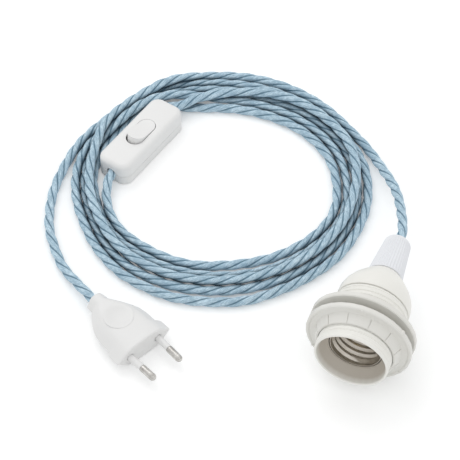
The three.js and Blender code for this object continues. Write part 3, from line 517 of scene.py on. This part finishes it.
# Lampholder shell
# The threaded skirt and the dome are injection moulded in a warm white thermoplastic with a satin
# face. The dome screws to the skirt, and the core inside carries the thread for the lamp.
holder_axis_height = 0.028
mouth_radius = 0.0175
# painted shade: radii over which the inside of the mouth darkens
inner_shade_edges = (mouth_radius - 0.0003, mouth_radius + 0.0009)
weld_distance = 1e-6
bevel_segments = 2
bevel_from = math.radians(40)


def moulded_plastic(name, colour, shade, roughness):
    """Moulded plastic: two close tones in slow clouds, a fine spark-eroded grain and uneven gloss."""
    material, tree, shader = new_material(name)
    clouds = object_noise(tree, scale=38.0, detail=3.0, roughness=0.55)
    tone = two_tones(tree, clouds, shade, colour, low=0.3, high=0.7)
    tree.links.new(tone, shader.inputs["Base Color"])
    gloss = ranged(tree, clouds, 0.0, 1.0, roughness - 0.05, roughness + 0.07)
    tree.links.new(gloss, shader.inputs["Roughness"])
    grain = object_noise(tree, scale=2400.0, detail=2.0, roughness=0.6)
    raised(tree, shader, grain, strength=0.5, distance=0.00002)
    set_inputs(shader, IOR=1.48)
    return material


@cache
def facet_softener(limit_deg):
    """A modifier tree that joins a CAD piece's triangles and shades them smooth up to an angle."""
    group = bpy.data.node_groups.new(f"soft_facets_{limit_deg}", "GeometryNodeTree")
    group.is_modifier = True
    group.interface.new_socket("Geometry", in_out="INPUT", socket_type="NodeSocketGeometry")
    group.interface.new_socket("Geometry", in_out="OUTPUT", socket_type="NodeSocketGeometry")
    entry = group.nodes.new("NodeGroupInput")
    leave = group.nodes.new("NodeGroupOutput")
    merge = group.nodes.new("GeometryNodeMergeByDistance")
    merge.inputs["Distance"].default_value = weld_distance
    angle = group.nodes.new("GeometryNodeInputMeshEdgeAngle")
    gentle = group.nodes.new("FunctionNodeCompare")
    gentle.operation = "LESS_THAN"
    gentle.inputs["B"].default_value = math.radians(limit_deg)
    edges = group.nodes.new("GeometryNodeSetShadeSmooth")
    edges.domain = "EDGE"
    faces = group.nodes.new("GeometryNodeSetShadeSmooth")
    faces.domain = "FACE"
    group.links.new(entry.outputs[0], merge.inputs["Geometry"])
    group.links.new(merge.outputs["Geometry"], faces.inputs["Geometry"])
    group.links.new(faces.outputs["Geometry"], edges.inputs["Geometry"])
    group.links.new(angle.outputs["Unsigned Angle"], gentle.inputs["A"])
    group.links.new(gentle.outputs["Result"], edges.inputs["Shade Smooth"])
    group.links.new(edges.outputs["Geometry"], leave.inputs[0])
    return group


def finish_node(name, material, soft_deg=30, edge_mm=0.0):
    """Gives a CAD piece its material, smooth facets and, where it asks, a small moulded edge."""
    piece = nodes[name]
    piece.data.materials.clear()
    piece.data.materials.append(material)
    soften = piece.modifiers.new("soft_facets", "NODES")
    soften.node_group = facet_softener(soft_deg)
    if edge_mm:
        bevel = piece.modifiers.new("moulded_edge", "BEVEL")
        bevel.width = edge_mm / 1000
        bevel.segments = bevel_segments
        bevel.limit_method = "ANGLE"
        bevel.angle_limit = bevel_from


def inner_shade(material, colour):
    """Paints shade on the faces near the lampholder's axis, inside the mouth, where less light reaches."""
    tree = material.node_tree
    base_colour = tree.nodes["Principled BSDF"].inputs["Base Color"]
    place = tree.nodes.new("ShaderNodeTexCoord")
    off_axis = tree.nodes.new("ShaderNodeVectorMath")
    off_axis.operation = "MULTIPLY_ADD"
    off_axis.inputs[1].default_value = (1, 0, 1)
    off_axis.inputs[2].default_value = (0, 0, -holder_axis_height)
    tree.links.new(place.outputs["Object"], off_axis.inputs[0])
    radius = tree.nodes.new("ShaderNodeVectorMath")
    radius.operation = "LENGTH"
    tree.links.new(off_axis.outputs["Vector"], radius.inputs[0])
    outer = ranged(tree, radius.outputs["Value"], *inner_shade_edges)
    tree.links.new(blended(tree, outer, colour, base_colour.links[0].from_socket), base_colour)


warm_white = moulded_plastic(
    "warm_white_plastic", colour=(0.83, 0.825, 0.785), shade=(0.805, 0.795, 0.75), roughness=0.38)
core_white = moulded_plastic(
    "core_plastic", colour=(0.76, 0.73, 0.66), shade=(0.70, 0.67, 0.60), roughness=0.5)
# Painted shade: the inside of the mouth is painted darker and warmer.
shaded_mouth_white = warm_white.copy()
shaded_mouth_white.name = "warm_white_with_painted_mouth_shade"
inner_shade(shaded_mouth_white, (0.50, 0.46, 0.40))
finish_node("skirt", shaded_mouth_white, soft_deg=18)
finish_node("dome", warm_white, soft_deg=32, edge_mm=0.2)
finish_node("socket_core", core_white)


# Shade rings
# Two identical moulded rings screw on the skirt and clamp a shade between their flat faces. Each has a
# coned collar with twelve thin slits, a raised rim, three small nibs and one rounder knob.
ring_white = moulded_plastic(
    "ring_plastic", colour=(0.745, 0.74, 0.705), shade=(0.715, 0.705, 0.665), roughness=0.36)
for name in ("lower_ring", "upper_ring"):
    finish_node(name, ring_white, edge_mm=0.1)


# Lamp thread and contacts
# The thread for the lamp is rolled from thin nickel-plated sheet. The contacts behind it are brass
# strips, and each terminal is a small brass block with a steel screw.
def plated_metal(name, colour, shade, roughness):
    """Plated or bare metal: a stained tone, uneven polish and fine scuffs."""
    material, tree, shader = new_material(name)
    stains = object_noise(tree, scale=240.0, detail=5.0, roughness=0.6)
    tone = two_tones(tree, stains, shade, colour, low=0.35, high=0.65)
    tree.links.new(tone, shader.inputs["Base Color"])
    gloss = ranged(tree, stains, 0.0, 1.0, roughness - 0.06, roughness + 0.1)
    tree.links.new(gloss, shader.inputs["Roughness"])
    scuffs = object_noise(tree, scale=1800.0, detail=3.0)
    raised(tree, shader, scuffs, strength=0.3, distance=0.00001)
    set_inputs(shader, Metallic=1.0)
    return material


shell_nickel = plated_metal(
    "shell_nickel", colour=(0.66, 0.62, 0.56), shade=(0.54, 0.50, 0.44), roughness=0.36)
contact_brass = plated_metal(
    "contact_brass", colour=(0.70, 0.55, 0.29), shade=(0.58, 0.44, 0.22), roughness=0.34)
screw_steel = plated_metal(
    "screw_steel", colour=(0.60, 0.60, 0.60), shade=(0.46, 0.46, 0.46), roughness=0.32)
core_insulation = moulded_plastic(
    "core_insulation", colour=(0.30, 0.13, 0.05), shade=(0.25, 0.10, 0.04), roughness=0.5)
finish_node("thread_shell", shell_nickel, soft_deg=40)
for name in ("centre_contact", "side_contact", "holder_terminal_live", "holder_terminal_neutral"):
    finish_node(name, contact_brass, edge_mm=0.1)
for name in ("holder_screw_live", "holder_screw_neutral"):
    finish_node(name, screw_steel, soft_deg=35, edge_mm=0.1)
for name in ("holder_wire_live", "holder_wire_neutral", "through_wire"):
    finish_node(name, core_insulation, soft_deg=60)


# Cord grip
# The ribbed cone screws on the dome's stub and squeezes a split collet round the cord. Both are moulded
# in a cooler white.
cool_white = moulded_plastic(
    "cool_white_plastic", colour=(0.80, 0.815, 0.84), shade=(0.775, 0.79, 0.82), roughness=0.34)
finish_node("cord_grip", cool_white, soft_deg=15)
finish_node("grip_collet", cool_white, soft_deg=40)


# Inline switch
# Two moulded halves close round the cord, held by two screws from below. A rocker with round ends sits
# in the cover on two stub axles and tips a contact bridge.
switch_white = moulded_plastic(
    "switch_plastic", colour=(0.79, 0.79, 0.785), shade=(0.775, 0.775, 0.77), roughness=0.34)
rocker_white = moulded_plastic(
    "rocker_plastic", colour=(0.79, 0.79, 0.785), shade=(0.78, 0.78, 0.775), roughness=0.3)
finish_node("switch_cover", switch_white, soft_deg=32, edge_mm=0.4)
finish_node("switch_base", switch_white, soft_deg=32, edge_mm=0.12)
finish_node("rocker", rocker_white, soft_deg=32, edge_mm=0.4)
for name in ("contact_bridge", "switch_terminal_a", "switch_terminal_b"):
    finish_node(name, contact_brass, edge_mm=0.1)
for name in (
    "switch_screw_a", "switch_screw_b", "cord_clamp_a", "cord_clamp_b", "housing_screw_a", "housing_screw_b",
):
    finish_node(name, screw_steel, soft_deg=35, edge_mm=0.1)


# Plug
# A flat two-pin plug moulded in one with its neck. Each nickel-plated pin wears a white sleeve over the
# half next to the body, and both broad sides carry a low round pad with a thumb dish sunk in it.
plug_white = moulded_plastic(
    "plug_plastic", colour=(0.775, 0.775, 0.77), shade=(0.75, 0.75, 0.745), roughness=0.42)
# The pins' deep shade tone is partly painted reflection: besides stains, its dark patches stand in for dark
# reflections along the plated pins.
pin_nickel = plated_metal(
    "pin_nickel", colour=(0.68, 0.665, 0.64), shade=(0.40, 0.385, 0.365), roughness=0.22)
finish_node("plug_body", plug_white, soft_deg=28, edge_mm=0.18)
for name in ("pin_sleeve_a", "pin_sleeve_b"):
    finish_node(name, plug_white, soft_deg=40, edge_mm=0.1)
for name in ("plug_pin_a", "plug_pin_b"):
    finish_node(name, pin_nickel, soft_deg=40)
